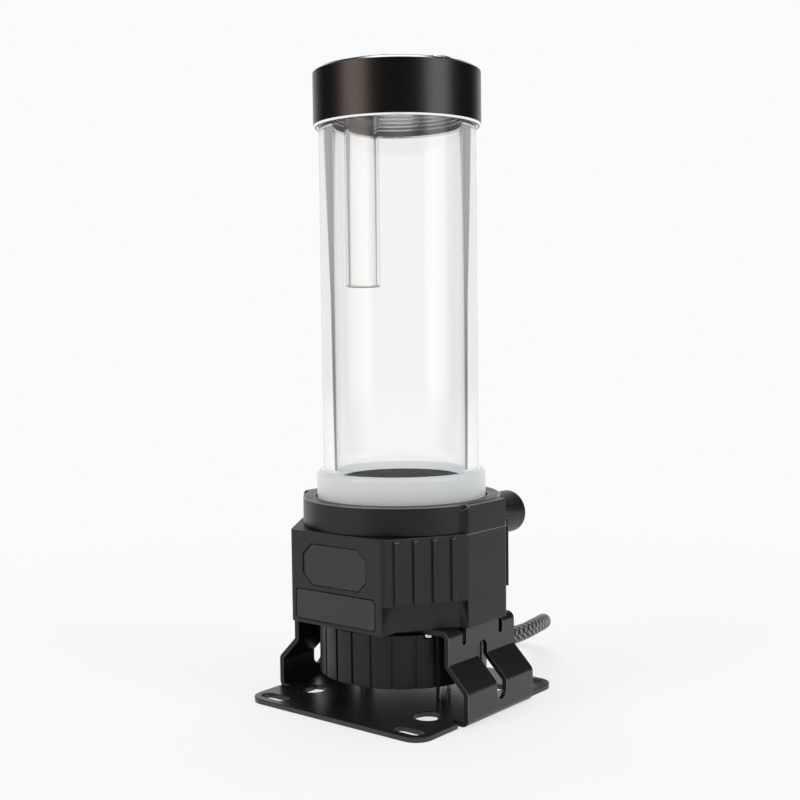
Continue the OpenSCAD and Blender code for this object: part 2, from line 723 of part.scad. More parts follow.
module inner_pipe() color([0.85, 0.90, 0.92, 0.4])
    translate([-pipe_x, -pipe_y, lid_z - pipe_len]) rotate_extrude() {
        round_r = 1.5;
        polygon(concat([[pipe_r - pipe_wall, 0], [pipe_r - round_r, 0]],
            [for (a = [-75 : 15 : 0]) [pipe_r - round_r + round_r * cos(a), round_r + round_r * sin(a)]],
            [[pipe_r, pipe_len + pipe_socket], [pipe_r - pipe_wall, pipe_len + pipe_socket]]));
    }

module plug_seal() color([0.08, 0.08, 0.08])
    translate([plug_at.x, plug_at.y, lid_top]) ring(plug_r + 1.5, plug_r + 0.1, plug_seal_t);

module fill_plug() color([0.10, 0.10, 0.10]) translate([plug_at.x, plug_at.y, 0]) difference() {
    union() {
        translate([0, 0, lid_z + 2]) cylinder(r = plug_r, h = plug_z - lid_z - 2 + eps);
        translate([0, 0, plug_z]) cylinder(r = plug_r + 1.9, h = 1.8);
        translate([0, 0, plug_z + 1.8]) cylinder(r1 = plug_r + 1.9, r2 = plug_r + 1.3, h = 0.6);
    }
    translate([0, 0, plug_z - 3]) cylinder(r = 3.5, h = 10, $fn = 6);
}

// ---- cable ----

module cable_gland() color([0.10, 0.10, 0.10]) translate(gland_at) rotate([-90, 0, 0]) {
    cylinder(r = gland_r, h = 6);
    translate([0, 0, 6 - eps]) cylinder(r1 = gland_r, r2 = cable_d / 2 + 0.5, h = gland_len - 6 + eps);
}

// Tube along a route: one ring of points at each of its points, facing along the route
module swept_tube(route, d, sides = 10) {
    last = len(route) - 1;
    function along(i) = unit(route[min(i + 1, last)] - route[max(i - 1, 0)]);
    rings = [for (i = [0 : last]) let (t = along(i), u = unit(cross([0, 0, 1], t)), v = cross(t, u))
        for (k = [0 : sides - 1]) let (a = 360 * k / sides) route[i] + d / 2 * (u * cos(a) + v * sin(a))];
    polyhedron(rings, concat(
        [[for (k = [0 : sides - 1]) k]],
        [for (i = [0 : last - 1], k = [0 : sides - 1]) let (j = (k + 1) % sides)
            [i * sides + k, (i + 1) * sides + k, (i + 1) * sides + j, i * sides + j]],
        [[for (k = [sides - 1 : -1 : 0]) last * sides + k]]));
}

module cable() color([0.10, 0.10, 0.10]) swept_tube(cable_route, cable_d);

module cable_tail() color([0.10, 0.10, 0.10]) swept_tube(tail_route, cable_d);

module cable_coil() color([0.10, 0.10, 0.10]) translate([coil_at.x, coil_at.y, 0])
    rotate_extrude() {
        half = coil_turns * cable_d / 2;
        r = cable_d / 2;
        translate([coil_mid_r, r]) square([2 * half - 2 * r, cable_d], center = true);
        for (s = [-1, 1]) translate([coil_mid_r + s * (half - r), r]) circle(r = r, $fn = 32);
    }

module cable_tie() color([0.08, 0.08, 0.08]) translate([coil_at.x, coil_at.y, 0]) rotate([0, 0, 130])
    translate([coil_mid_r, 0, 0]) difference() {
        w = coil_turns * cable_d;
        translate([-w / 2 - tie_t, -tie_w / 2, 0]) cube([w + 2 * tie_t, tie_w, cable_d + tie_t]);
        translate([-w / 2, -tie_w, tie_t]) cube([w, 2 * tie_w, cable_d - tie_t]);
    }

module cable_connector() color([0.10, 0.10, 0.10])
    translate([cable_end().x - connector_size.x / 2, connector_y, 0]) difference() {
        cube(connector_size);
        translate([1.2, connector_size.y - 6, 1.2])
            cube([connector_size.x - 2.4, 10, connector_size.z - 2.4]);
    }
function cable_end() = tail_route[len(tail_route) - 1];

mount_bracket();
bracket_screws();
bottom_standoffs();
motor_housing();
driver_board();
stator_core();
stator_coils();
rotor_can();
rotor_shaft();
thrust_washer();
impeller();
impeller_bushing();
rotor_magnet();
body_cover();
badge_plate();
label_plate();
body_screws();
pump_top();
volute_seal();
led_board();
diffuser_ring();
lower_seal();
reservoir_tube();
upper_seal();
cap_ring();
lid_disc();
inner_pipe();
plug_seal();
fill_plug();
cable_gland();
cable();
cable_coil();
cable_tail();
cable_tie();
cable_connector();
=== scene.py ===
"""Looks of a coolant pump with a clear tube reservoir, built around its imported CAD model."""

import json
import math

import bmesh
import bpy
from mathutils import Matrix, Vector

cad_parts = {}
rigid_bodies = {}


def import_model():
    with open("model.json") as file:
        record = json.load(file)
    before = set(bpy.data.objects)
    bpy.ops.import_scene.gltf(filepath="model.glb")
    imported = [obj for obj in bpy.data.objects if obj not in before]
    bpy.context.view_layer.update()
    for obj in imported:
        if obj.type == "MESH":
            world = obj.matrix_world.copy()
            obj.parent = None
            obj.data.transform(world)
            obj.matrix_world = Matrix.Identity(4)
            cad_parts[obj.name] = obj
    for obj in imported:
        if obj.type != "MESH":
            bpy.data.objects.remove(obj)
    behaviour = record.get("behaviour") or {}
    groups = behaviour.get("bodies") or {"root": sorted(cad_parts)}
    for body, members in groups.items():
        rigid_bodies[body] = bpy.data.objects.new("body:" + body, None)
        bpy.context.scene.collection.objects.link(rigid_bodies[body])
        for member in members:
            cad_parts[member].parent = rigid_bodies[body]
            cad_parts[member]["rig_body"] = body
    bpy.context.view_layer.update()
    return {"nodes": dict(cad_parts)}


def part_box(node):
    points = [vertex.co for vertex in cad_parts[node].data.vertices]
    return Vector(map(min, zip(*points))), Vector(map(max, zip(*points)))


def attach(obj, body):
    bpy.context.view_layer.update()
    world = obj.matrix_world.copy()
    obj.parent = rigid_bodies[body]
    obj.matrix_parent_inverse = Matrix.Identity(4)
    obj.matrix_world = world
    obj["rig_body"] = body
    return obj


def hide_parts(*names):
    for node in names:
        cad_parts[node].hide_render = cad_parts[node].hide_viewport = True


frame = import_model()

MM = 0.001
UP = Vector((0, 0, 1))


# ---- camera, floor and light ----

CAMERA_AZIMUTH = math.radians(39.0)
CAMERA_PITCH = math.radians(-3.66)
CAMERA_ROLL = math.radians(-0.68)
CAMERA_DISTANCE = 0.4799
CAMERA_HEIGHT = 0.146
CAMERA_LENS = 56.0
CAMERA_SHIFT = -0.0006
TOWARDS_CAMERA = Vector((math.sin(CAMERA_AZIMUTH), -math.cos(CAMERA_AZIMUTH), 0))

# colours of the white paper, of the paper behind clear walls and of the two softboxes
WHITE = (0.955, 0.96, 0.962, 1)
WHITE_BEHIND_CLEAR = (0.939, 0.932, 0.936, 1)
WARM_BOX = (1.0, 0.83, 0.73, 1)
COOL_BOX = (0.96, 1.0, 0.98, 1)

FLOOR_RADIUS = 3.0
MIDDLE_HEIGHT = 0.16


def make_camera():
    """The camera, a little above the body's middle and looking slightly down."""
    lens = bpy.data.cameras.new("camera")
    lens.lens = CAMERA_LENS
    lens.sensor_width = 36
    lens.shift_x = CAMERA_SHIFT
    lens.clip_start = 0.01
    camera = bpy.data.objects.new("camera", lens)
    bpy.context.scene.collection.objects.link(camera)
    camera.location = TOWARDS_CAMERA * CAMERA_DISTANCE + UP * CAMERA_HEIGHT
    forward = -TOWARDS_CAMERA * math.cos(CAMERA_PITCH) + UP * math.sin(CAMERA_PITCH)
    turn = forward.to_track_quat("-Z", "Y") @ Matrix.Rotation(CAMERA_ROLL, 3, "Z").to_quaternion()
    camera.rotation_mode = "QUATERNION"
    camera.rotation_quaternion = turn
    bpy.context.scene.camera = camera


class Wire:
    """A number flowing through a node tree, which takes Python's operators."""

    def __init__(self, tree, socket):
        self.tree = tree
        self.socket = socket

    def maths(self, operation, *values):
        node = self.tree.nodes.new("ShaderNodeMath")
        node.operation = operation
        for slot, value in zip(node.inputs, values):
            connect(self.tree, slot, value)
        return Wire(self.tree, node.outputs[0])

    def __add__(self, other):
        return self.maths("ADD", self, other)

    def __sub__(self, other):
        return self.maths("SUBTRACT", self, other)

    def __rsub__(self, other):
        return self.maths("SUBTRACT", other, self)

    def __mul__(self, other):
        return self.maths("MULTIPLY", self, other)

    def __truediv__(self, other):
        return self.maths("DIVIDE", self, other)

    def __rtruediv__(self, other):
        return self.maths("DIVIDE", other, self)

    def __pow__(self, other):
        return self.maths("POWER", self, other)

    __radd__ = __add__
    __rmul__ = __mul__

    def ramp(self, low, high, out_low=0.0, out_high=1.0):
        """0 below low, 1 above high, smooth between, then spread from out_low to out_high."""
        node = self.tree.nodes.new("ShaderNodeMapRange")
        node.interpolation_type = "SMOOTHSTEP"
        for name, value in zip(("Value", "From Min", "From Max", "To Min", "To Max"),
                               (self, low, high, out_low, out_high)):
            connect(self.tree, node.inputs[name], value)
        return Wire(self.tree, node.outputs["Result"])


def connect(tree, slot, value):
    """Links a wire to a socket, or sets the socket's own value."""
    if isinstance(value, Wire):
        tree.links.new(value.socket, slot)
    elif hasattr(value, "__len__") and len(value) == 3 and len(slot.default_value) == 4:
        slot.default_value = (*value, 1)
    else:
        slot.default_value = value


class Finish:
    """A surface finish: a material whose nodes are added one by one."""

    def __init__(self, name, tree=None):
        if tree is None:
            self.material = bpy.data.materials.new(name)
            self.material.use_nodes = True
            tree = self.material.node_tree
        self.tree = tree
        self.tree.nodes.clear()

    def node(self, kind, settings=None, out=0, **values):
        """Adds a node, sets its settings first and then its sockets, and gives one output."""
        node = self.tree.nodes.new("ShaderNode" + kind)
        for name, value in (settings or {}).items():
            setattr(node, name, value)
        for name, value in values.items():
            connect(self.tree, self.slot(node.inputs, name), value)
        return Wire(self.tree, self.slot(node.outputs, out)) if node.outputs else None

    @staticmethod
    def slot(sockets, name):
        """A socket by number, as _1, or by name, with _ for a space."""
        if isinstance(name, int):
            return sockets[name]
        if name.startswith("_"):
            return sockets[int(name[1:])]
        return sockets[name.replace("_", " ")]

    def place(self, scale=(1, 1, 1)):
        """Object coordinates, scaled."""
        here = self.node("TexCoord", out="Object")
        return self.node("Mapping", Vector=here, Scale=scale)

    def vector(self, operation, first, second=(0, 0, 0), out="Vector"):
        """Vector arithmetic; out is Value where the answer is a number."""
        return self.node("VectorMath", {"operation": operation}, out=out, _0=first, _1=second)

    def axis(self, name, source=None):
        """One coordinate of source, or of the place on the object."""
        here = source or self.node("TexCoord", out="Object")
        return self.node("SeparateXYZ", out=name, Vector=here)

    def noise(self, scale, detail=3.0, roughness=0.5, source=None):
        return self.node("TexNoise", out="Fac", Vector=source or self.place(), Scale=scale,
                         Detail=detail, Roughness=roughness)

    def blend(self, share, first, second):
        """Colour between first and second."""
        return self.node("Mix", {"data_type": "RGBA"}, out=2, _0=share, _6=first, _7=second)

    def bump(self, height, distance, strength=1.0):
        return self.node("Bump", Height=height, Distance=distance, Strength=strength)

    def surface(self, **values):
        return self.node("BsdfPrincipled", **values)

    def done(self, shader):
        self.node("OutputMaterial", Surface=shader)
        return self.material


def light_box(name, place, aim, size, watts, colour):
    """A softbox that lights surfaces but isn't itself mirrored; the studio draws the mirrored one."""
    lamp = bpy.data.lights.new(name, "AREA")
    lamp.shape = "RECTANGLE"
    lamp.size, lamp.size_y = size
    lamp.energy = watts
    lamp.color = colour
    box = bpy.data.objects.new(name, lamp)
    bpy.context.scene.collection.objects.link(box)
    box.location = place
    box.visible_glossy = False
    box.visible_transmission = False
    box.rotation_mode = "QUATERNION"
    box.rotation_quaternion = (Vector(aim) - Vector(place)).to_track_quat("-Z", "Y")


def around(degrees, distance, height):
    """A place at that many degrees to the right of the camera, seen from above."""
    a = CAMERA_AZIMUTH + math.radians(degrees)
    return Vector((math.sin(a) * distance, -math.cos(a) * distance, height))


def make_lights():
    middle = (0, 0, MIDDLE_HEIGHT)
    light_box("left_softbox", around(-60, 1.1, 0.42), middle, (0.42, 1.0), 7, (1.0, 0.92, 0.86))
    light_box("right_softbox", around(58, 1.1, 0.42), middle, (0.36, 1.0), 6, (0.97, 1.0, 0.99))
    light_box("overhead_softbox", around(180, 0.25, 1.3), (0, 0, 0), (1.2, 1.2), 10, (1, 1, 1))


def white_window(across, away, rise):
    """How white the studio is in that direction.

    Behind the object the paper sweep narrows as it rises; the wall behind the camera is white.
    """
    aside = across.maths("ARCTAN2", across.maths("ABSOLUTE", across), away) * (180 / math.pi)
    # the sweep's half width in degrees: it narrows slowly at first, and fast above that
    low, high = 43.6 - rise * 35.0, 45.5 - rise * 132.0
    sweep = (low.maths("MINIMUM", low, high) - aside).ramp(-2.5, 2.5)
    return sweep.maths("MAXIMUM", sweep, away.ramp(-0.6, -0.1, 1.0, 0.0))


def seen_through(paint, gaze):
    """What a ray that has passed clear walls picks up: white in the window, grey beside it.

    The window stands straight behind the object from wherever the camera looks.
    """
    ahead = paint.node("VectorTransform", {"convert_from": "CAMERA", "convert_to": "WORLD"},
                       Vector=(0, 0, 1))
    level = paint.vector("NORMALIZE", paint.vector("MULTIPLY", ahead, (1, 1, 0)))
    right = paint.vector("CROSS_PRODUCT", level, tuple(UP))
    away = paint.vector("DOT_PRODUCT", gaze, level, out="Value")
    across = paint.vector("DOT_PRODUCT", gaze, right, out="Value")
    rise = paint.axis("Z", gaze)
    beside = rise.ramp(-0.1, 0.12, 0.18, 0.42)
    return white_window(across, away, rise) * (1.02 - beside) + beside


def make_world():
    """The studio as mirrored and clear surfaces see it; the camera itself sees only white."""
    world = bpy.data.worlds.new("studio")
    world.use_nodes = True
    bpy.context.scene.world = world
    sky = Finish("studio", world.node_tree)
    gaze = sky.node("TexCoord", out="Generated")
    away = sky.vector("DOT_PRODUCT", gaze, tuple(-TOWARDS_CAMERA), out="Value")
    across = sky.vector("DOT_PRODUCT", gaze, tuple(UP.cross(TOWARDS_CAMERA)), out="Value")
    rise = sky.axis("Z", gaze)
    bearing = across.maths("ARCTAN2", across, 0.0 - away) * (180 / math.pi)
    height = rise.ramp(-0.25, -0.05) * rise.ramp(0.55, 0.8, 1.0, 0.0)

    def softbox(centre, half, fade):
        """A box of light, in degrees: its bearing, half its width and the fade at its edges."""
        off = (bearing - centre).maths("ABSOLUTE", bearing - centre)
        return off.ramp(half, half + fade, 1.0, 0.0) * height

    left = softbox(-60, 10, 16)
    right = softbox(57, 9, 15)
    dimmer_above = rise.ramp(0.45, 0.9, 1.0, 0.35)
    mirrored_wall = away.ramp(0.55, 0.95) * dimmer_above * 0.9
    mirrored_ceiling = rise.ramp(0.88, 0.95) * 1.3
    seen = sky.node("LightPath", out="Is Camera Ray")
    through = sky.node("LightPath", out="Is Transmission Ray")
    mirrored = sky.node("LightPath", out="Is Glossy Ray")
    boxes = sky.blend(right / (left + right + 0.001), WARM_BOX, COOL_BOX)
    glare = sky.node("Background", Color=boxes, Strength=(left + right) * 2.6)
    soft = sky.node("Background", Color=(1, 1, 1, 1),
                    Strength=away.ramp(0.15, 0.75) * dimmer_above * 0.55 + 0.25)
    room = sky.node("Background", Color=WHITE, Strength=mirrored_wall + mirrored_ceiling + 0.03)
    clear = sky.node("Background", Color=WHITE_BEHIND_CLEAR, Strength=seen_through(sky, gaze))
    shader = sky.node("MixShader", _0=mirrored, _1=soft, _2=sky.node("AddShader", _0=room, _1=glare))
    shader = sky.node("MixShader", _0=through, _1=shader, _2=clear)
    plain = sky.node("Background", Color=WHITE, Strength=1.0)
    shader = sky.node("MixShader", _0=seen, _1=shader, _2=plain)
    sky.node("OutputWorld", Surface=shader)


def make_floor():
    """White paper on a light table: it glows under the object and keeps a soft shadow of it."""
    bm = bmesh.new()
    bmesh.ops.create_circle(bm, cap_ends=True, segments=96, radius=FLOOR_RADIUS)
    floor = piece_from("floor", bm)
    paint = Finish("floor_paper")
    place = paint.node("TexCoord", out="Object")
    reach = paint.vector("LENGTH", place, out="Value")
    far = reach.ramp(0.10, 0.45)
    paper = paint.node("BsdfDiffuse", Color=(0.9, 0.9, 0.9, 1))
    glow = paint.node("Emission", Color=WHITE, Strength=1.0)
    lit = paint.node("MixShader", _0=far.ramp(0, 1, 0.72, 1.0), _1=paper, _2=glow)
    # through clear walls the far floor meets the studio's window without a step
    gaze = paint.vector("NORMALIZE", paint.vector("SUBTRACT", place, (0, 0, MIDDLE_HEIGHT)))
    dim = paint.node("Emission", Color=WHITE_BEHIND_CLEAR, Strength=seen_through(paint, gaze))
    through = paint.node("LightPath", out="Is Transmission Ray")
    lit = paint.node("MixShader", _0=through * far, _1=lit, _2=dim)
    # the paper ends in the room behind it, as mirrored and clear surfaces see it
    seen = paint.node("LightPath", out="Is Camera Ray")
    gone = reach.ramp(0.9, 2.6) * (1.0 - seen)
    open_air = paint.node("BsdfTransparent", Color=(1, 1, 1, 1))
    floor.data.materials.append(paint.done(paint.node("MixShader", _0=gone, _1=lit, _2=open_air)))


# ---- finishes ----

def moulded_black(name, grey, rough, shine=0.33):
    """Black plastic with a fine spark-eroded grain and a faint unevenness of sheen."""
    grain, depth = 0.22 * MM, 0.02 * MM
    paint = Finish(name)
    cloud = paint.noise(60, 2)
    speck = paint.noise(1 / grain, 2, 0.6)
    tone = paint.blend(cloud.ramp(0.3, 0.7), [c * 0.9 for c in grey], [c * 1.1 for c in grey])
    tone = paint.blend(speck.ramp(0.35, 0.8) * 0.35, tone, [min(1, c * 1.7) for c in grey])
    dull = cloud.ramp(0.25, 0.75, rough - 0.05, rough + 0.06)
    skin = paint.bump(speck, depth, 0.5)
    return paint.done(paint.surface(Base_Color=tone, Roughness=dull, Normal=skin, Specular_IOR_Level=shine))


def powder_coat():
    """Semi-gloss black powder coat with a soft orange-peel surface."""
    paint = Finish("black_powder_coat")
    peel = paint.noise(520, 2, 0.45)
    cloud = paint.noise(25, 2)
    tone = paint.blend(cloud.ramp(0.3, 0.7), (0.0075, 0.0075, 0.0085, 1), (0.010, 0.010, 0.011, 1))
    dull = cloud.ramp(0.3, 0.7, 0.27, 0.33)
    return paint.done(paint.surface(Base_Color=tone, Roughness=dull, Specular_IOR_Level=0.62,
                                    Normal=paint.bump(peel, 0.00005, 0.18)))


def black_anodised():
    """Satin black anodised aluminium with the faint rings that turning leaves."""
    paint = Finish("black_anodised")
    height = paint.axis("Z")
    ring = paint.noise(1.0, 2, 0.6, paint.node("CombineXYZ", Z=height * 9000.0))
    speck = paint.noise(4200, 1)
    tone = paint.blend(speck.ramp(0.3, 0.8), (0.044, 0.043, 0.043, 1), (0.066, 0.064, 0.063, 1))
    dull = ring.ramp(0.2, 0.8, 0.26, 0.34)
    skin = paint.bump(ring * 0.5 + speck * 0.6, 0.000012, 0.4)
    return paint.done(paint.surface(Base_Color=tone, Metallic=0.96, Roughness=dull, Normal=skin))


def bright_cut():
    """Aluminium laid bare and polished by a chamfer cut."""
    paint = Finish("bright_cut_aluminium")
    line = paint.noise(1.0, 1, 0.5, paint.node("CombineXYZ", Z=paint.axis("Z") * 16000.0))
    return paint.done(paint.surface(Base_Color=(0.95, 0.95, 0.95, 1), Metallic=1.0,
                                    Roughness=line.ramp(0.2, 0.8, 0.12, 0.22),
                                    Normal=paint.bump(line, 0.000004, 0.3)))


def cut_thread():
    """Metal laid bare and left glossy by the thread cutter."""
    paint = Finish("cut_thread")
    mark = paint.noise(1.0, 2, 0.5, paint.node("CombineXYZ", Z=paint.axis("Z") * 6000.0))
    tone = paint.blend(mark.ramp(0.3, 0.7), (0.80, 0.79, 0.80, 1), (0.92, 0.91, 0.92, 1))
    return paint.done(paint.surface(Base_Color=tone, Metallic=0.95,
                                    Roughness=mark.ramp(0.2, 0.8, 0.10, 0.16),
                                    Normal=paint.bump(mark, 0.000003, 0.2)))


def clear_acrylic(name="clear_acrylic", tint=(0.985, 0.99, 0.99, 1), ior=1.49):
    """Polished clear acrylic; lamps reach through it to what it holds."""
    paint = Finish(name)
    haze = paint.noise(35, 2).ramp(0.35, 0.75, 0.0, 0.012)
    glass = paint.surface(Base_Color=tint, Roughness=haze, IOR=ior, Transmission_Weight=1.0)
    lamp_ray = paint.node("LightPath", out="Is Shadow Ray")
    open_air = paint.node("BsdfTransparent", Color=(0.92, 0.93, 0.93, 1))
    return paint.done(paint.node("MixShader", _0=lamp_ray, _1=glass, _2=open_air))


def frosted_white(name="frosted_white_acrylic", glow=0.06):
    """Frosted white acrylic that spreads light; its emission, set by glow, is painted light that stands in
    for light piped through the clear tube.
    """
    paint = Finish(name)
    speck = paint.noise(2600, 2, 0.6)
    cloud = paint.noise(25, 2)
    tone = paint.blend(cloud.ramp(0.1, 0.9), (0.60, 0.61, 0.62, 1), (0.61, 0.62, 0.63, 1))
    return paint.done(paint.surface(
        Base_Color=tone, Roughness=cloud.ramp(0.1, 0.9, 0.27, 0.30), Subsurface_Weight=0.5,
        Emission_Color=(0.93, 0.96, 1.0, 1), Emission_Strength=glow,
        Subsurface_Radius=(1, 1, 1), Subsurface_Scale=0.003, IOR=1.49,
        Normal=paint.bump(speck, 0.00001, 0.3)))


def bright_steel(name, colour, rough):
    """Plated steel with fine level tool lines."""
    paint = Finish(name)
    line = paint.noise(1.0, 2, 0.6, paint.place((900, 900, 9000)))
    tone = paint.blend(line.ramp(0.3, 0.7), [c * 0.85 for c in colour], colour)
    return paint.done(paint.surface(Base_Color=tone, Metallic=1.0,
                                    Roughness=line.ramp(0.2, 0.8, rough, rough + 0.12),
                                    Normal=paint.bump(line, 0.000006, 0.3)))


def black_rubber():
    """Dull black rubber, finely pitted."""
    paint = Finish("black_rubber")
    speck = paint.noise(1800, 2, 0.6)
    tone = paint.blend(paint.noise(90, 2).ramp(0.3, 0.7), (0.012, 0.012, 0.012, 1), (0.02, 0.02, 0.02, 1))
    return paint.done(paint.surface(Base_Color=tone, Roughness=speck.ramp(0.3, 0.7, 0.5, 0.65),
                                    Normal=paint.bump(speck, 0.00002, 0.4)))


def wet_floor():
    """The reservoir's floor: rough moulded black with coarse spark marks."""
    paint = Finish("reservoir_floor")
    mark = paint.noise(1500, 3, 0.7)
    tone = paint.blend(mark.ramp(0.55, 0.75), (0.0015, 0.0015, 0.002, 1), (0.08, 0.08, 0.085, 1))
    return paint.done(paint.surface(Base_Color=tone, Roughness=mark.ramp(0.3, 0.7, 0.85, 0.7),
                                    Specular_IOR_Level=0.0, Normal=paint.bump(mark, 0.00012, 0.8)))


def laminated_steel():
    """A stack of thin steel sheets, seen at its edges."""
    paint = Finish("laminated_steel")
    sheet = paint.node("TexWave", {"bands_direction": "Z"}, out="Fac", Vector=paint.place(), Scale=320.0)
    tone = paint.blend(sheet, (0.12, 0.12, 0.125, 1), (0.34, 0.34, 0.35, 1))
    return paint.done(paint.surface(Base_Color=tone, Metallic=0.9, Roughness=sheet.ramp(0, 1, 0.35, 0.5),
                                    Normal=paint.bump(sheet, 0.00005, 0.5)))


def copper_winding():
    """Enamelled copper wire laid turn on turn."""
    paint = Finish("enamelled_copper")
    strand = paint.node("TexWave", {"bands_direction": "Z"}, out="Fac", Vector=paint.place(), Scale=420.0)
    tone = paint.blend(strand, (0.22, 0.07, 0.025, 1), (0.62, 0.27, 0.12, 1))
    return paint.done(paint.surface(Base_Color=tone, Metallic=0.9, Roughness=strand.ramp(0, 1, 0.25, 0.4),
                                    Normal=paint.bump(strand, 0.0001, 0.7)))


def circuit_board(name, mask, print_colour):
    """A printed board: solder mask with the lines between its tracks."""
    paint = Finish(name)
    track = paint.node("TexVoronoi", {"feature": "DISTANCE_TO_EDGE"}, out="Distance",
                       Vector=paint.place(), Scale=260.0)
    tone = paint.blend(track.ramp(0.02, 0.08), print_colour, mask)
    return paint.done(paint.surface(Base_Color=tone, Roughness=track.ramp(0, 0.2, 0.3, 0.45),
                                    Normal=paint.bump(track, 0.00004, 0.4)))


def hard_smooth(name, colour, rough, speckle=0.12):
    """Moulded or ground hard material with a faint mottle."""
    paint = Finish(name)
    mottle = paint.noise(400, 3, 0.6)
    tone = paint.blend(mottle.ramp(0.3, 0.7), [c * (1 - speckle) for c in colour], colour)
    return paint.done(paint.surface(Base_Color=tone, Roughness=mottle.ramp(0.3, 0.7, rough, rough + 0.08),
                                    Normal=paint.bump(mottle, 0.00001, 0.25)))


# ---- shaping ----

TOUCHING = 0.0001 * MM
SAME_POINT = 0.002 * MM
SAME_PLANE = math.radians(0.6)
SHARP_EDGE = math.radians(35)
ROUNDING_SHARES = (1.0, 0.6, 0.3)


def piece_from(name, bm):
    """A new object that holds the finished bmesh."""
    mesh = bpy.data.meshes.new(name)
    bm.to_mesh(mesh)
    bm.free()
    made = bpy.data.objects.new(name, mesh)
    bpy.context.scene.collection.objects.link(made)
    return made


def smooth(made, degrees=32):
    """Shade smooth except over edges sharper than this."""
    made.data.shade_smooth()
    made.data.set_sharp_from_angle(angle=math.radians(degrees))
    return made


def keep_flat(made):
    """Shade large faces flat up to their small rounded edges."""
    weighted = made.modifiers.new("flat_faces_stay_flat", "WEIGHTED_NORMAL")
    weighted.keep_sharp = True
    return made


def rounded_profile(corners, steps=4):
    """Outline through (radius, height, rounding) corners, closed, with round corners."""
    points = []
    for i, (x, z, r) in enumerate(corners):
        here = Vector((x, z))
        if r == 0:
            points.append(here)
            continue
        back = (Vector(corners[i - 1][:2]) - here).normalized()
        ahead = (Vector(corners[(i + 1) % len(corners)][:2]) - here).normalized()
        half = back.angle(ahead) / 2
        start = here + back * r / math.tan(half)
        centre = here + (back + ahead).normalized() * r / math.sin(half)
        spoke = start - centre
        turn = ahead.angle_signed(-back)
        for k in range(steps + 1):
            points.append(centre + Matrix.Rotation(turn * k / steps, 2) @ spoke)
    return points


def lathe(name, corners, at=(0, 0), segments=160, steps=4):
    """A ring or disc turned about the vertical through at, from an outline in millimetres."""
    bm = bmesh.new()
    outline = rounded_profile(corners, steps)
    verts = [bm.verts.new((p.x * MM, 0, p.y * MM)) for p in outline]
    edges = [bm.edges.new((a, b)) for a, b in zip(verts, verts[1:] + verts[:1])]
    bmesh.ops.spin(bm, geom=verts + edges, cent=(0, 0, 0), axis=UP, angle=2 * math.pi,
                   steps=segments, use_merge=True)
    bmesh.ops.remove_doubles(bm, verts=bm.verts, dist=TOUCHING)
    bmesh.ops.recalc_face_normals(bm, faces=bm.faces)
    bmesh.ops.translate(bm, verts=bm.verts, vec=(at[0] * MM, at[1] * MM, 0))
    return keep_flat(smooth(piece_from(name, bm)))


def room_beside(loop):
    """How far a face reaches from one of its edges, straight across that edge."""
    start = loop.vert.co
    along = loop.link_loop_next.vert.co - start
    length = along.length
    along.normalize()
    inward = loop.face.normal.cross(along)
    flat = [((v.co - start).dot(along), (v.co - start).dot(inward)) for v in loop.face.verts]
    room = min([b for a, b in flat if 0 <= a <= length and b > TOUCHING], default=1.0)
    for (a0, b0), (a1, b1) in zip(flat, flat[1:] + flat[:1]):
        if (a0 - length / 2) * (a1 - length / 2) < 0:
            across = b0 + (b1 - b0) * (length / 2 - a0) / (a1 - a0)
            if across > TOUCHING:
                room = min(room, across)
    return room


def taken_at_end(edge, vert, chosen, width):
    """Length that rounding takes from an edge at one end; None where it can't be rounded."""
    others = [e for e in vert.link_edges if e in chosen and e is not edge]
    if any(e.calc_length() < 1.1 * width for e in vert.link_edges if e not in chosen):
        return None
    if not others:
        return 0.0
    if len(others) > 1:
        return 1.05 * width
    away = edge.other_vert(vert).co - vert.co
    return width * math.tan(min(1.5, (math.pi - away.angle(others[0].other_vert(vert).co - vert.co)) / 2))


def edges_with_room(edges, rooms, width):
    """The edges that a rounding of this width fits on without folding the faces beside them.

    A face may be rounded along both its sides, so it has to reach over more than twice the width.
    """
    chosen = {e for e in edges if rooms[e] > 2.1 * width}
    while True:
        poor = set()
        for edge in chosen:
            ends = [taken_at_end(edge, v, chosen, width) for v in edge.verts]
            if None in ends or sum(ends) > edge.calc_length():
                poor.add(edge)
        if not poor:
            return chosen
        chosen -= poor


def softened(node, width, segments=2, rim=0, rim_rise=0.25):
    """A copy of a CAD node with its sharp outer edges rounded off; it stands for the node.

    Each edge gets the widest share of the rounding that fits on the faces beside it. Rounded
    edges that face up by more than rim_rise take the material numbered rim, which paints a
    highlight on them.
    """
    bm = bmesh.new()
    bm.from_mesh(frame["nodes"][node].data)
    bmesh.ops.remove_doubles(bm, verts=bm.verts, dist=SAME_POINT)
    bmesh.ops.dissolve_limit(bm, angle_limit=SAME_PLANE, verts=bm.verts, edges=bm.edges, delimit=set())
    rounded = bm.faces.layers.int.new("rounded")
    for share in ROUNDING_SHARES:
        offset = width * share * MM
        bm.normal_update()
        sharp = [e for e in bm.edges if len(e.link_faces) == 2 and e.is_convex
                 and e.calc_face_angle(0) > SHARP_EDGE
                 and not any(face[rounded] for face in e.link_faces)]
        rooms = {e: min(room_beside(loop) for loop in e.link_loops) for e in sharp}
        fits = edges_with_room(sharp, rooms, offset)
        made = bmesh.ops.bevel(bm, geom=[e for e in sharp if e in fits], offset=offset,
                               offset_type="OFFSET", segments=segments, profile=0.5, affect="EDGES",
                               clamp_overlap=False, material=-1)
        for face in made["faces"]:
            face.normal_update()
            face[rounded] = 1
            # rounded faces that face up enough take the painted highlight finish
            face.material_index = rim if face.normal.z > rim_rise else 0
    bm.faces.layers.int.remove(rounded)
    # each step of a rounded right angle is shaded smooth, and what is sharper stays sharp
    made = keep_flat(smooth(piece_from(node + "_finished", bm), 94 / segments))
    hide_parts(node)
    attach(made, frame["nodes"][node]["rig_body"])
    return made


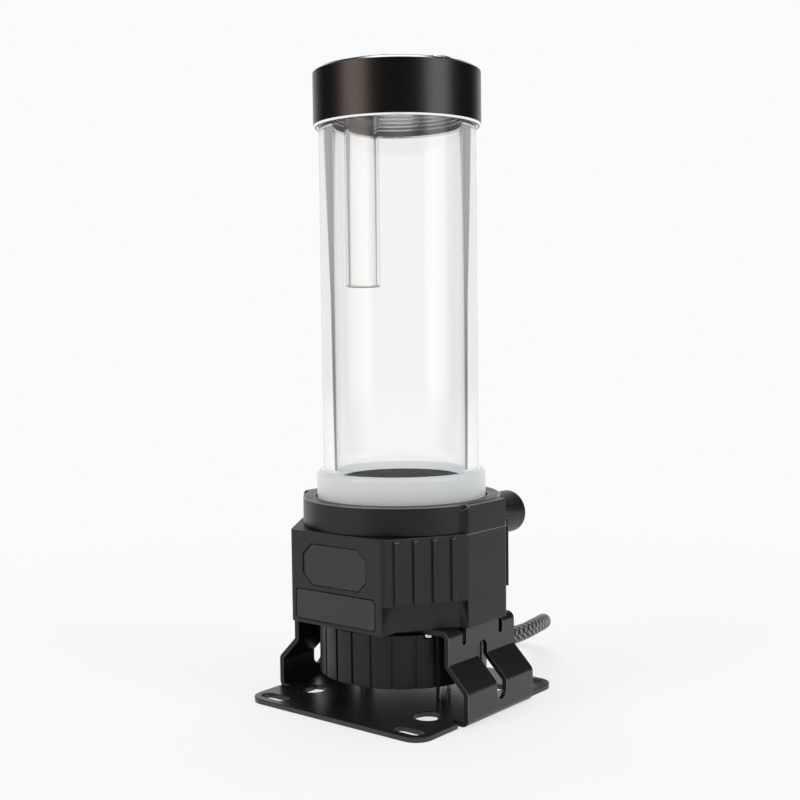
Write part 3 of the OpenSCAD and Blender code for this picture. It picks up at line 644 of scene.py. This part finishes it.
def dress(made, *finishes):
    """Gives a piece its finishes, in the order that its faces number them."""
    # emptying a list that is already empty would put every face back to the first finish
    if len(made.data.materials):
        made.data.materials.clear()
    for finish in finishes:
        made.data.materials.append(finish)
    return made


def stand_for(made, node, finish):
    """Puts a new piece in a CAD node's place, on its body, with its finish."""
    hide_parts(node)
    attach(made, frame["nodes"][node]["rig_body"])
    return dress(made, finish)


def size_of(node):
    """Lowest and highest corner of a CAD node, in millimetres."""
    low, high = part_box(node)
    return low / MM, high / MM


make_camera()
make_world()
make_lights()
make_floor()

COVER_BLACK = moulded_black("cover_black", (0.0105, 0.0105, 0.0113), 0.42)
# painted highlight: a lighter black for the cover's rounded edges that face up
COVER_EDGE_PAINTED_HIGHLIGHT = moulded_black("cover_edges_painted_highlight", (0.15, 0.15, 0.155), 0.3, 0.8)
TOP_BLACK = moulded_black("pump_top_black", (0.007, 0.007, 0.0078), 0.36, 0.3)
# painted highlight: a lighter black for the pump top's rounded edges that face up
TOP_EDGE_PAINTED_HIGHLIGHT = moulded_black("pump_top_edges_painted_highlight", (0.15, 0.15, 0.155), 0.3, 0.8)
MOTOR_BLACK = moulded_black("motor_black", (0.006, 0.006, 0.0066), 0.36, 0.28)
BADGE_BLACK = moulded_black("badge_black", (0.017, 0.017, 0.0175), 0.44, 0.42)
LABEL_BLACK = moulded_black("label_black", (0.021, 0.021, 0.022), 0.5, 0.42)
BRACKET_BLACK = powder_coat()
# painted highlight: a lighter black for the bracket's rounded edges
BRACKET_EDGE_PAINTED_HIGHLIGHT = moulded_black("coat_edges_painted_highlight", (0.08, 0.08, 0.085), 0.25, 0.8)
# painted shade: a near-black for the bracket's cut ends and the base plate's rounded edges
BRACKET_PAINTED_SHADE = moulded_black("coat_on_cut_sheet_painted_shade", (0.003, 0.003, 0.0032), 0.4, 0.3)
CAP_BLACK = black_anodised()
CUT_EDGE = bright_cut()
THREAD_CUT = cut_thread()
CLEAR = clear_acrylic()
# the diffuser's finish carries a faint painted glow
DIFFUSER = frosted_white()
ZINC = bright_steel("zinc_plate", (0.75, 0.75, 0.76), 0.22)
NICKEL = bright_steel("nickel_plate", (0.95, 0.92, 0.87), 0.2)
RUBBER = black_rubber()


# ---- cable ----

CABLE_D = 6.5 * MM


def cable_points():
    """The cable's whole centre line: listed route, coil of two turns, listed tail."""
    route = [(25, 27, 18.5), (25, 33, 18.5), (25.3, 40.3, 18.6), (25.3, 48, 18.8),
             (23.9, 57, 18.8), (21.2, 66, 18), (17, 74.6, 16.4), (11.5, 82, 13.8),
             (4.8, 87.2, 10.2), (-3, 89, 6.2), (-10.7, 87.6, 3.7), (-17, 83, 3.25),
             (-20.9, 76.3, 3.25), (-24.3, 69.3, 3.25), (-29, 62.8, 3.25), (-34.7, 56.9, 3.25)]
    coil_at, turns, start = Vector((-66, 82, 3.25)), 2, -50
    outer, inner, per_turn = 39.5, 26.5, 36
    coil = []
    for i in range(turns * per_turn + 1):
        share = i / (turns * per_turn)
        a = math.radians(start - 360 * turns * share)
        r = outer + (inner - outer) * share
        coil.append(coil_at + Vector((r * math.cos(a), r * math.sin(a), 0)))
    tail = [(-55.6, 58.6, 3.25), (-62.8, 59.2, 3.4), (-68.7, 63.4, 3.7),
            (-71.8, 70, 4), (-72, 76, 4), (-72, 79, 4)]
    return smoothed([Vector(p) for p in route] + coil + [Vector(p) for p in tail])


def smoothed(points, steps=4):
    """A Catmull-Rom curve through the points."""
    out = []
    for i in range(len(points) - 1):
        p0, p1 = points[max(i - 1, 0)], points[i]
        p2, p3 = points[i + 1], points[min(i + 2, len(points) - 1)]
        for k in range(steps):
            t = k / steps
            out.append(0.5 * (2 * p1 + (p2 - p0) * t + (2 * p0 - 5 * p1 + 4 * p2 - p3) * t ** 2
                              + (3 * p1 - p0 - 3 * p2 + p3) * t ** 3))
    return [p * MM for p in out + [points[-1]]]


def sleeve(name, points, radius, sides=20):
    """A tube along points, with a UV map of millimetres along it and turns round it."""
    bm = bmesh.new()
    uv = bm.loops.layers.uv.new("sleeve")
    rings, lengths, run = [], [], 0.0
    for i, p in enumerate(points):
        ahead = (points[min(i + 1, len(points) - 1)] - points[max(i - 1, 0)]).normalized()
        side = UP.cross(ahead).normalized()
        over = ahead.cross(side)
        run += (p - points[i - 1]).length / MM if i else 0
        lengths.append(run)
        rings.append([bm.verts.new(p + radius * (side * math.cos(2 * math.pi * k / sides)
                                                 + over * math.sin(2 * math.pi * k / sides)))
                      for k in range(sides)])
    for i in range(len(rings) - 1):
        for k in range(sides):
            j = (k + 1) % sides
            face = bm.faces.new((rings[i][k], rings[i][j], rings[i + 1][j], rings[i + 1][k]))
            for loop, u, v in zip(face.loops, (i, i, i + 1, i + 1), (k, k + 1, k + 1, k)):
                loop[uv].uv = (lengths[u], v / sides)
    bm.faces.new(list(reversed(rings[0])))
    bm.faces.new(rings[-1])
    bmesh.ops.recalc_face_normals(bm, faces=bm.faces)
    return smooth(piece_from(name, bm), 60), run * MM


def braid():
    """Braided sleeve: two sets of flat strands that wind round the cable both ways.

    There are so many strands round the cable each way, and one cell is so many millimetres long.
    """
    paint = Finish("black_braid")
    uv = paint.node("UVMap", {"uv_map": "sleeve"}, out="UV")
    along, turn = paint.axis("X", uv), paint.axis("Y", uv)
    strands, cell = 5.0, 3.2
    right = turn * strands + along * (1 / cell)
    # shifted so that the count of strands stays positive over the cable's whole length
    left = turn * strands - along * (1 / cell) + 1000.0

    def hump(x):
        part = x.maths("FRACT", x)
        return 1.0 - (part * 2.0 - 1.0) ** 2

    pair = (right.maths("FLOOR", right) + left.maths("FLOOR", left)) * 0.5
    under = pair.maths("FRACT", pair).ramp(0.2, 0.3)
    height = hump(right) * under + hump(left) * (1.0 - under)
    fibre = paint.noise(1.0, 2, 0.6, paint.node("CombineXYZ", X=along * 2.0, Y=turn * 160.0))
    # painted highlight and painted shade: the strands' crowns are painted light grey and the gaps between
    # them near black
    tone = paint.blend(height.ramp(0.6, 1.0), (0.003, 0.003, 0.003, 1), (0.22, 0.22, 0.225, 1))
    return paint.done(paint.surface(Base_Color=tone, Roughness=fibre.ramp(0.3, 0.7, 0.32, 0.5),
                                    Normal=paint.bump(height + fibre * 0.25, 0.00045, 0.9)))


CABLE_PATH = cable_points()
cable, cable_length = sleeve("braided_cable", CABLE_PATH, CABLE_D / 2)
dress(cable, braid())
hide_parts("cable", "cable_coil", "cable_tail")
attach(cable, "base")
tie = dress(softened("cable_tie", 0.15), RUBBER)
connector = dress(softened("cable_connector", 0.35), MOTOR_BLACK)
dress(softened("cable_gland", 0.3), RUBBER)


# ---- bracket and pump ----

SHEET = 3.0 * MM
BOWL_RADIUS = 24.9 * MM
BOWL_DEPTH = 4.0

# every rounded edge of the bracket takes the lighter edge finish, a painted highlight
bracket = dress(softened("mount_bracket", 0.2, 3, rim=1, rim_rise=-2),
                BRACKET_BLACK, BRACKET_EDGE_PAINTED_HIGHLIGHT, BRACKET_PAINTED_SHADE)
# painted shade: the base plate's rounded edges and the flanges' cut ends are painted darker than their
# rounded edges, which carry the painted highlight
for face in bracket.data.polygons:
    low = face.center.z < SHEET
    if (low and face.material_index == 1) or (not low and abs(face.normal.y) > 0.9):
        face.material_index = 2
dress(softened("bracket_screws", 0.15), ZINC)
dress(softened("bottom_standoffs", 0.2), NICKEL)
dress(softened("motor_housing", 0.25), MOTOR_BLACK)
# rounded edges that face up take the lighter edge finish, a painted highlight
cover = dress(softened("body_cover", 0.35, 3, rim=1), COVER_BLACK, COVER_EDGE_PAINTED_HIGHLIGHT)
# edges round the badge and label stay dark, without the painted highlight
for face in cover.data.polygons:
    if face.normal.y < -0.4:
        face.material_index = 0
dress(softened("badge_plate", 0.15), BADGE_BLACK)
dress(softened("label_plate", 0.15), LABEL_BLACK)
# rounded edges that face up take the lighter edge finish, a painted highlight
pump_top = dress(softened("pump_top", 0.4, 3, rim=1), TOP_BLACK, TOP_EDGE_PAINTED_HIGHLIGHT, wet_floor())
bowl_floor = (size_of("pump_top")[1].z - BOWL_DEPTH) * MM
for face in pump_top.data.polygons:
    if Vector(face.center[:2]).length < BOWL_RADIUS and face.center.z > bowl_floor:
        face.material_index = 2
dress(softened("body_screws", 0.15), ZINC)
dress(softened("impeller", 0.12), hard_smooth("impeller_white", (0.8, 0.8, 0.78), 0.3))

INNER = {
    "stator_core": laminated_steel(),
    "stator_coils": copper_winding(),
    "driver_board": circuit_board("green_board", (0.01, 0.07, 0.03), (0.03, 0.14, 0.06)),
    "led_board": circuit_board("white_board", (0.8, 0.8, 0.78), (0.6, 0.6, 0.58)),
    "rotor_can": hard_smooth("can_plastic", (0.05, 0.05, 0.055), 0.4),
    "rotor_shaft": hard_smooth("ceramic", (0.85, 0.85, 0.82), 0.12, 0.04),
    "impeller_bushing": hard_smooth("carbon", (0.06, 0.06, 0.062), 0.45),
    "rotor_magnet": hard_smooth("ferrite", (0.10, 0.10, 0.11), 0.5),
    "volute_seal": RUBBER,
    "lower_seal": RUBBER,
}
INNER["thrust_washer"] = INNER["rotor_shaft"]
for node, finish in INNER.items():
    dress(frame["nodes"][node], finish)


# ---- reservoir ----

# in millimetres, as the outlines that are turned into rings
TUBE_WALL = 5.0
PIPE_WALL = 1.65
ROUND_THE_TUBE = 0.15
LID_OPENING = 28.1
LID_FLANGE = 3.0
LEAD_IN = 0.6
TOP_CHAMFER = 0.8
BOTTOM_CHAMFER = 0.65
THREAD_PITCH = 1.5
THREAD_GROOVE = 0.55
THREAD_DEPTH = 0.35


def make_tube():
    """The clear tube, its ends faintly rounded."""
    low, high = size_of("reservoir_tube")
    r = high.x
    bore = r - TUBE_WALL
    corners = [(bore, low.z, 0.3), (r, low.z, 0.3), (r, high.z, 0.3), (bore, high.z, 0.3)]
    return lathe("clear_tube", corners, segments=256)


def make_diffuser():
    """The frosted ring round the tube's foot, with a stronger painted glow on its bore where it meets the
    tube.
    """
    low, high = size_of("diffuser_ring")
    inside = size_of("reservoir_tube")[1].x + ROUND_THE_TUBE
    corners = [(inside, low.z, 0.1), (high.x, low.z, 0.8), (high.x, high.z, 2.0), (inside, high.z, 0.3)]
    ring = lathe("light_diffuser", corners, segments=224, steps=8)
    stand_for(ring, "diffuser_ring", DIFFUSER)
    # painted glow: the bore's faces take a finish that emits more light
    ring.data.materials.append(frosted_white("frosted_white_bore_painted_glow", 0.45))
    for face in ring.data.polygons:
        if Vector(face.center[:2]).length < (inside + 0.3) * MM:
            face.material_index = 1


def make_inner_pipe():
    """The pipe that hangs from the lid, its lower end rounded."""
    low, high = size_of("inner_pipe")
    centre = (low + high) / 2
    r = (high.x - low.x) / 2
    bore = r - PIPE_WALL
    corners = [(bore, low.z, 0.5), (r, low.z, 1.14), (r, high.z, 0.1), (bore, high.z, 0.1)]
    return lathe("drop_pipe", corners, at=(centre.x, centre.y), segments=128)


def make_cap():
    """The cap ring, with its thread inside and its edges cut bright."""
    low, high = size_of("cap_ring")
    r = high.x
    bore = size_of("reservoir_tube")[1].x + ROUND_THE_TUBE
    lid_foot = size_of("lid_disc")[0].z
    shoulder = lid_foot + LID_FLANGE
    corners = [(bore, low.z + LEAD_IN, 0), (bore + LEAD_IN, low.z, 0),
               (r - BOTTOM_CHAMFER, low.z, 0.05), (r, low.z + BOTTOM_CHAMFER, 0.05),
               (r, high.z - TOP_CHAMFER, 0.05),
               (r - TOP_CHAMFER, high.z, 0.05), (LID_OPENING, high.z, 0.1),
               (LID_OPENING, shoulder, 0.05), (bore, shoulder, 0.05)]
    # the thread, groove by groove, from below the lid down to the lead-in
    z = lid_foot - 0.5
    while z - THREAD_PITCH > low.z + 0.8:
        corners += [(bore, z, 0), (bore + THREAD_DEPTH, z - THREAD_GROOVE / 2, 0),
                    (bore, z - THREAD_GROOVE, 0)]
        z -= THREAD_PITCH
    cap = lathe("cap_ring_finished", corners, segments=224, steps=2)
    stand_for(cap, "cap_ring", CAP_BLACK)
    cap.data.materials.append(CUT_EDGE)
    cap.data.materials.append(THREAD_CUT)
    for face in cap.data.polygons:
        reach = Vector(face.center[:2]).length / MM
        if reach > r - TOP_CHAMFER * 1.05 and 0.3 < abs(face.normal.z) < 0.95:
            face.material_index = 1
        elif bore - 0.1 < reach < bore + 0.7:
            face.material_index = 2


stand_for(make_tube(), "reservoir_tube", CLEAR)
make_diffuser()
stand_for(make_inner_pipe(), "inner_pipe", clear_acrylic("pipe_acrylic", (0.985, 0.99, 0.985, 1), 1.4))
make_cap()
dress(softened("lid_disc", 0.25), CLEAR)
for node in ("upper_seal", "plug_seal"):
    dress(softened(node, 0.2), RUBBER)
dress(softened("fill_plug", 0.2), CUT_EDGE)

bpy.context.scene.view_settings.view_transform = "Standard"
